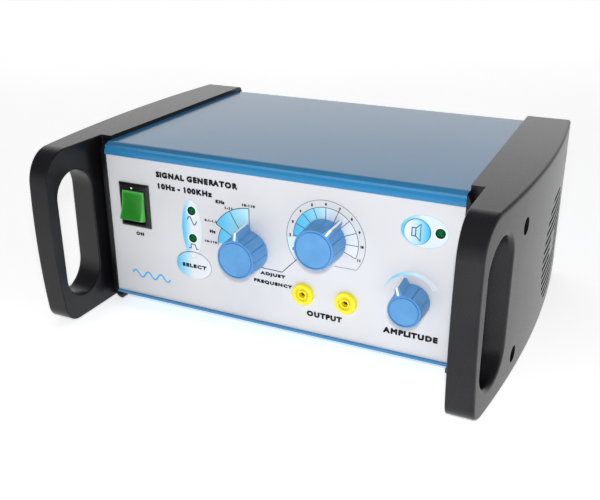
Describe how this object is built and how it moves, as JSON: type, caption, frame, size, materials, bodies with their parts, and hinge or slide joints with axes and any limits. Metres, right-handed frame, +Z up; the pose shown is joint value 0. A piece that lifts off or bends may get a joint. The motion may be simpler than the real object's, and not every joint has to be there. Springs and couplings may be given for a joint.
{
  "type": "function generator",
  "caption": "Bench function generator in a blue metal case between black moulded cheeks that form carrying handles, with knobs, rocker switch, keys, lamps and yellow output sockets.",
  "frame": {"origin": "middle of the bounding box in plan, on the plane the rubber feet stand on", "axes": "+X to the right as the user sees the front panel, +Y from the front panel to the rear panel, +Z up"},
  "size_m": [0.3134, 0.2387, 0.1201],
  "materials": {
    "black_moulding": "fine spark texture, satin",
    "blue_paint": "semi-gloss powder coat",
    "panel_metal": "plain sheet",
    "overlay_print": "printed film, satin",
    "rear_paint": "semi-gloss powder coat",
    "zinc_steel": "zinc plated",
    "bright_steel": "nickel plated",
    "black_rubber": "matte",
    "switch_black": "gloss",
    "switch_green": "translucent, gloss",
    "brass_metal": "plain",
    "knob_blue": "satin",
    "marker_white": "plain",
    "key_film": "printed, satin",
    "led_green": "tinted lens",
    "socket_yellow": "gloss",
    "board_green": "solder mask",
    "nylon_white": "plain",
    "chip_black": "moulded epoxy",
    "sleeve_blue": "shrink sleeve",
    "bare_aluminium": "extruded",
    "ribbon_grey": "ribbed cable",
    "laminated_steel": "stacked sheets, varnished",
    "winding_tape": "insulating tape",
    "glass_clear": "clear",
    "cone_paper": "pressed pulp",
    "wire_brown": "insulation"
  },
  "bodies": {
    "case": {"right_cheek": "black_moulding", "left_cheek": "black_moulding", "cheek_screws": "bright_steel", "top_cover": "blue_paint", "bottom_cover": "blue_paint", "front_panel": "panel_metal", "panel_overlay": "overlay_print", "rear_panel": "rear_paint", "left_side_frame": "zinc_steel", "right_side_frame": "zinc_steel", "frame_nuts": "zinc_steel", "rubber_feet": "black_rubber", "case_screws": "zinc_steel", "switch_housing": "switch_black", "switch_terminals": "brass_metal", "range_switch": "zinc_steel", "frequency_pot": "zinc_steel", "amplitude_pot": "zinc_steel", "control_nuts": "brass_metal", "key_switches": "chip_black", "indicator_leds": "led_green", "led_bezels": "switch_black", "output_socket_left": "socket_yellow", "output_socket_right": "socket_yellow", "output_contact_left": "brass_metal", "output_contact_right": "brass_metal", "socket_nuts": "brass_metal", "control_board": "board_green", "board_standoffs": "nylon_white", "main_board": "board_green", "waveform_chips": "chip_black", "filter_capacitors": "sleeve_blue", "heatsink": "bare_aluminium", "voltage_regulators": "chip_black", "ribbon_cable": "ribbon_grey", "transformer_core": "laminated_steel", "transformer_bobbin": "nylon_white", "transformer_winding": "winding_tape", "transformer_strap": "zinc_steel", "mains_inlet": "switch_black", "inlet_pins": "brass_metal", "speaker_basket": "zinc_steel", "speaker_cone": "cone_paper", "speaker_magnet": "laminated_steel", "mains_wiring": "wire_brown"},
    "range_control": {"range_knob": "knob_blue", "range_marker": "marker_white", "range_shaft": "bare_aluminium"},
    "frequency_control": {"frequency_knob": "knob_blue", "frequency_marker": "marker_white", "frequency_shaft": "bare_aluminium"},
    "amplitude_control": {"amplitude_knob": "knob_blue", "amplitude_marker": "marker_white", "amplitude_shaft": "bare_aluminium"},
    "rocker": {"switch_rocker": "switch_green"},
    "select_button": {"select_key": "key_film"},
    "speaker_button": {"speaker_key": "key_film"},
    "fuse_carrier": {"fuse_drawer": "switch_black", "fuse": "glass_clear"}
  },
  "joints": [
    {"name": "range_turn", "type": "hinge", "parent": "case", "child": "range_control", "pos_m": [-0.0146, -0.06825, 0.0594], "axis": [0, -1, 0], "range_deg": [0, 90]},
    {"name": "frequency_turn", "type": "hinge", "parent": "case", "child": "frequency_control", "pos_m": [0.038, -0.06825, 0.0756], "axis": [0, -1, 0], "range_deg": [-76, 149]},
    {"name": "amplitude_turn", "type": "hinge", "parent": "case", "child": "amplitude_control", "pos_m": [0.0942, -0.06825, 0.0469], "axis": [0, -1, 0], "range_deg": [-160, 110]},
    {"name": "rocker_tilt", "type": "hinge", "parent": "case", "child": "rocker", "pos_m": [-0.1003, -0.06625, 0.0755], "axis": [1, 0, 0], "range_deg": [0, 30]},
    {"name": "select_press", "type": "slide", "parent": "case", "child": "select_button", "axis": [0, 1, 0], "range_m": [0, 0.0005], "stiffness_N_per_m": 600},
    {"name": "speaker_press", "type": "slide", "parent": "case", "child": "speaker_button", "axis": [0, 1, 0], "range_m": [0, 0.0005], "stiffness_N_per_m": 600},
    {"name": "fuse_drawer_slide", "type": "slide", "parent": "case", "child": "fuse_carrier", "axis": [0, 1, 0], "range_m": [0, 0.022]}
  ]
}
